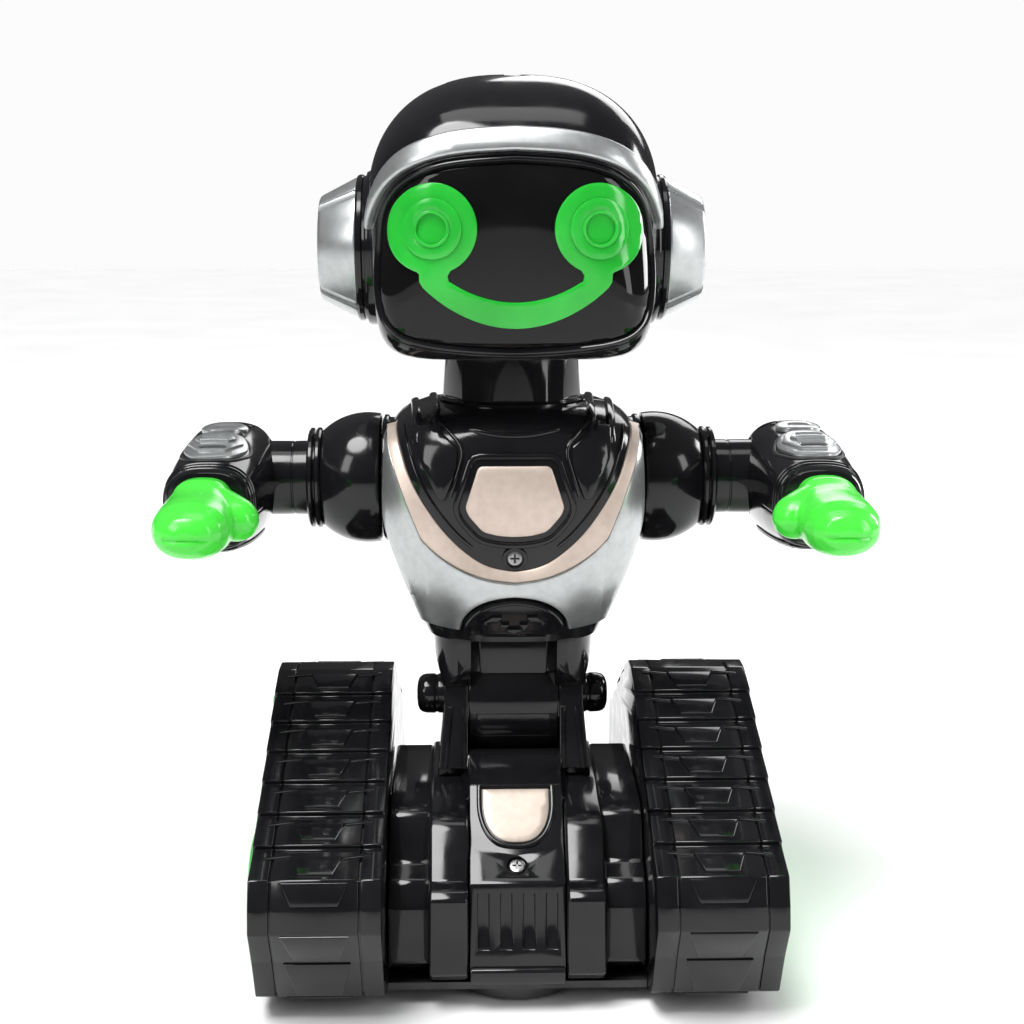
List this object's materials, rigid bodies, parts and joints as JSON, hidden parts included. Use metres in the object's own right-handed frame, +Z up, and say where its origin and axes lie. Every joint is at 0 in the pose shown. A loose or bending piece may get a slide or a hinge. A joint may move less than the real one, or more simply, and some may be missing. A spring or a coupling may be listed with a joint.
{
  "type": "toy robot",
  "caption": "Smiling toy robot with a turning head, swinging arms and a tilting waist on a tracked rolling base.",
  "frame": {"origin": "on the ground, under the middle of the model's bounding box", "axes": "+Z up, the robot faces -Y, its left side is +X"},
  "size_m": [0.1882, 0.156, 0.2442],
  "materials": {
    "black_shell": "glossy moulded ABS",
    "face_gloss": "mirror-smooth gloss",
    "green_clear": "translucent bright green",
    "green_solid": "glossy bright green",
    "silver_paint": "silver spray paint on plastic",
    "rose_silver": "satin silver with a warm tint",
    "black_matte": "fine moulded texture",
    "screw_steel": "zinc plated",
    "steel_shaft": "ground steel",
    "gear_white": "natural acetal",
    "wheel_grey": "moulded plastic",
    "tyre_rubber": "matt rubber",
    "motor_can": "plated steel can",
    "cell_wrap": "plain wrapped cell",
    "board_green": "solder mask",
    "speaker_black": "paper cone and steel frame"
  },
  "bodies": {
    "base": {"base_chassis": "black_matte", "base_screws": "screw_steel", "base_upper_shell": "black_shell", "battery_cells": "cell_wrap", "battery_contacts": "steel_shaft", "battery_door": "black_matte", "circuit_board": "board_green", "deck_badge": "rose_silver", "side_panel_left": "green_clear", "side_panel_right": "green_clear", "speaker": "speaker_black", "track_shell_left": "black_shell", "track_shell_right": "black_shell", "turret_bridge": "black_matte", "waist_pin": "black_shell", "waist_post": "black_shell"},
    "torso": {"hip_frame": "black_shell", "torso_front_shell": "black_shell", "torso_rear_shell": "black_shell", "chest_armour": "silver_paint", "chest_badge": "rose_silver", "shoulder_bushings": "black_matte", "jetpack_boosters": "black_shell", "back_hoses": "black_shell", "neck_post": "black_shell", "torso_screws": "screw_steel"},
    "head": {"head_rear_shell": "black_shell", "head_front_frame": "black_shell", "face_plate": "face_gloss", "face_light_guide": "green_clear", "brow_band": "silver_paint", "head_stripes": "silver_paint", "ear_rings": "black_shell", "ear_cups": "silver_paint", "head_screws": "screw_steel", "eye_led_board": "board_green"},
    "arm_left": {"shoulder_ball_left": "black_shell", "upper_arm_left": "black_shell", "forearm_top_shell_left": "black_shell", "forearm_bottom_shell_left": "black_shell", "forearm_vent_left": "silver_paint", "forearm_screw_left": "screw_steel", "hand_left": "green_solid"},
    "arm_right": {"shoulder_ball_right": "black_shell", "upper_arm_right": "black_shell", "forearm_top_shell_right": "black_shell", "forearm_bottom_shell_right": "black_shell", "forearm_vent_right": "silver_paint", "forearm_screw_right": "screw_steel", "hand_right": "green_solid"},
    "turret": {"turret_housing": "black_matte", "drive_motor": "motor_can"},
    "drive_wheelset": {"drive_axle": "steel_shaft", "drive_gear": "gear_white", "drive_wheels": "wheel_grey", "drive_tyres": "tyre_rubber"},
    "motor_rotor": {"motor_pinion": "steel_shaft"},
    "rear_wheelset": {"rear_axle": "steel_shaft", "rear_wheels": "wheel_grey"},
    "switch_button": {"power_switch": "black_matte"}
  },
  "joints": [
    {"name": "waist_tilt", "type": "hinge", "parent": "base", "child": "torso", "pos_m": [0, 0.0037, 0.0679], "axis": [1, 0, 0], "range_deg": [-8, 8]},
    {"name": "head_turn", "type": "hinge", "parent": "torso", "child": "head", "pos_m": [0, 0.0095, 0.1535], "axis": [0, 0, 1], "range_deg": [-60, 60]},
    {"name": "shoulder_left_swing", "type": "hinge", "parent": "torso", "child": "arm_left", "pos_m": [0.046, 0.0146, 0.1302], "axis": [1, 0, 0], "range_deg": [-100, 40]},
    {"name": "shoulder_right_swing", "type": "hinge", "parent": "torso", "child": "arm_right", "pos_m": [-0.046, 0.0146, 0.1302], "axis": [1, 0, 0], "range_deg": [-100, 40]},
    {"name": "turret_steer", "type": "hinge", "parent": "base", "child": "turret", "pos_m": [0, -0.037, 0.0135], "axis": [0, 0, 1], "continuous": true},
    {"name": "drive_spin", "type": "hinge", "parent": "turret", "child": "drive_wheelset", "pos_m": [0, -0.037, 0.008], "axis": [1, 0, 0], "continuous": true},
    {"name": "motor_spin", "type": "hinge", "parent": "turret", "child": "motor_rotor", "pos_m": [0, -0.037, 0.0155], "axis": [1, 0, 0], "continuous": true},
    {"name": "rear_wheel_spin", "type": "hinge", "parent": "base", "child": "rear_wheelset", "pos_m": [0, 0.056, 0.008], "axis": [1, 0, 0], "continuous": true},
    {"name": "switch_slide", "type": "slide", "parent": "base", "child": "switch_button", "axis": [1, 0, 0], "range_m": [-0.0028, 0]}
  ],
  "couplings": [
    {"joint": "motor_spin", "follows": "drive_spin", "ratio": -2}
  ]
}
